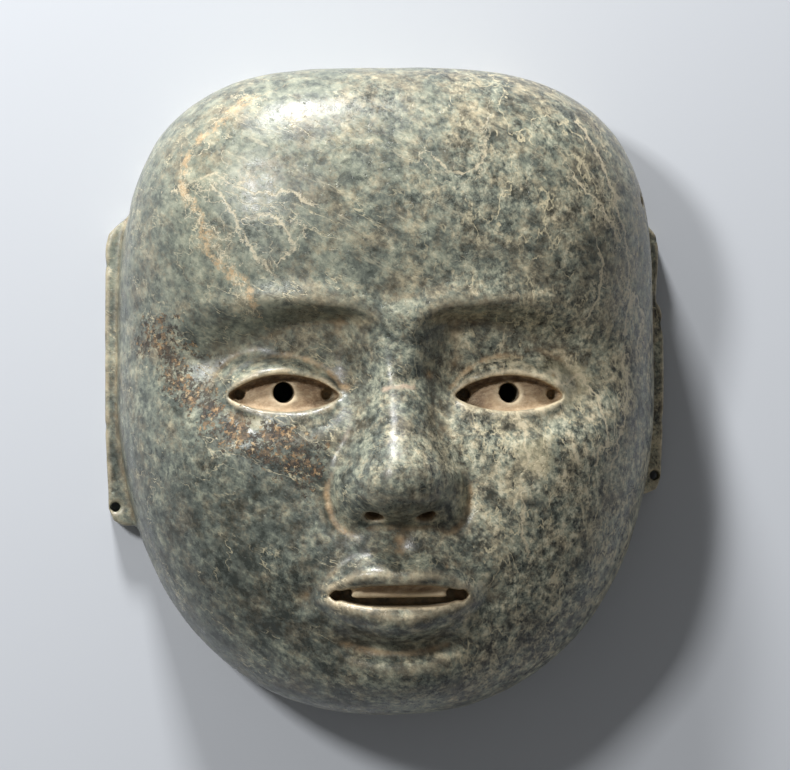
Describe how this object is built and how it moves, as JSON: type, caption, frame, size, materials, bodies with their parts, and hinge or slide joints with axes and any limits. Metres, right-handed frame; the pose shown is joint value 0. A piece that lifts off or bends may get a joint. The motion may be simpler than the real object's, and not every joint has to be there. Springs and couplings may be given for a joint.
{
  "type": "stone mask",
  "caption": "Carved serpentine face mask, hollow at the back, with thin drilled ear flanges, pierced pupils and parted lips, lying on its flat back rim.",
  "frame": {"origin": "centre of the overall outline, on the plane of the flat back rim the mask lies on", "axes": "+X to the viewer's right when facing the mask, +Y from the chin to the forehead, +Z out of the back rim through the face"},
  "size_m": [0.164, 0.186, 0.0846],
  "materials": {
    "serpentine": "polished, worn, with ochre deposit in the recesses"
  },
  "bodies": {
    "root": {"mask": "serpentine"}
  },
  "joints": []
}
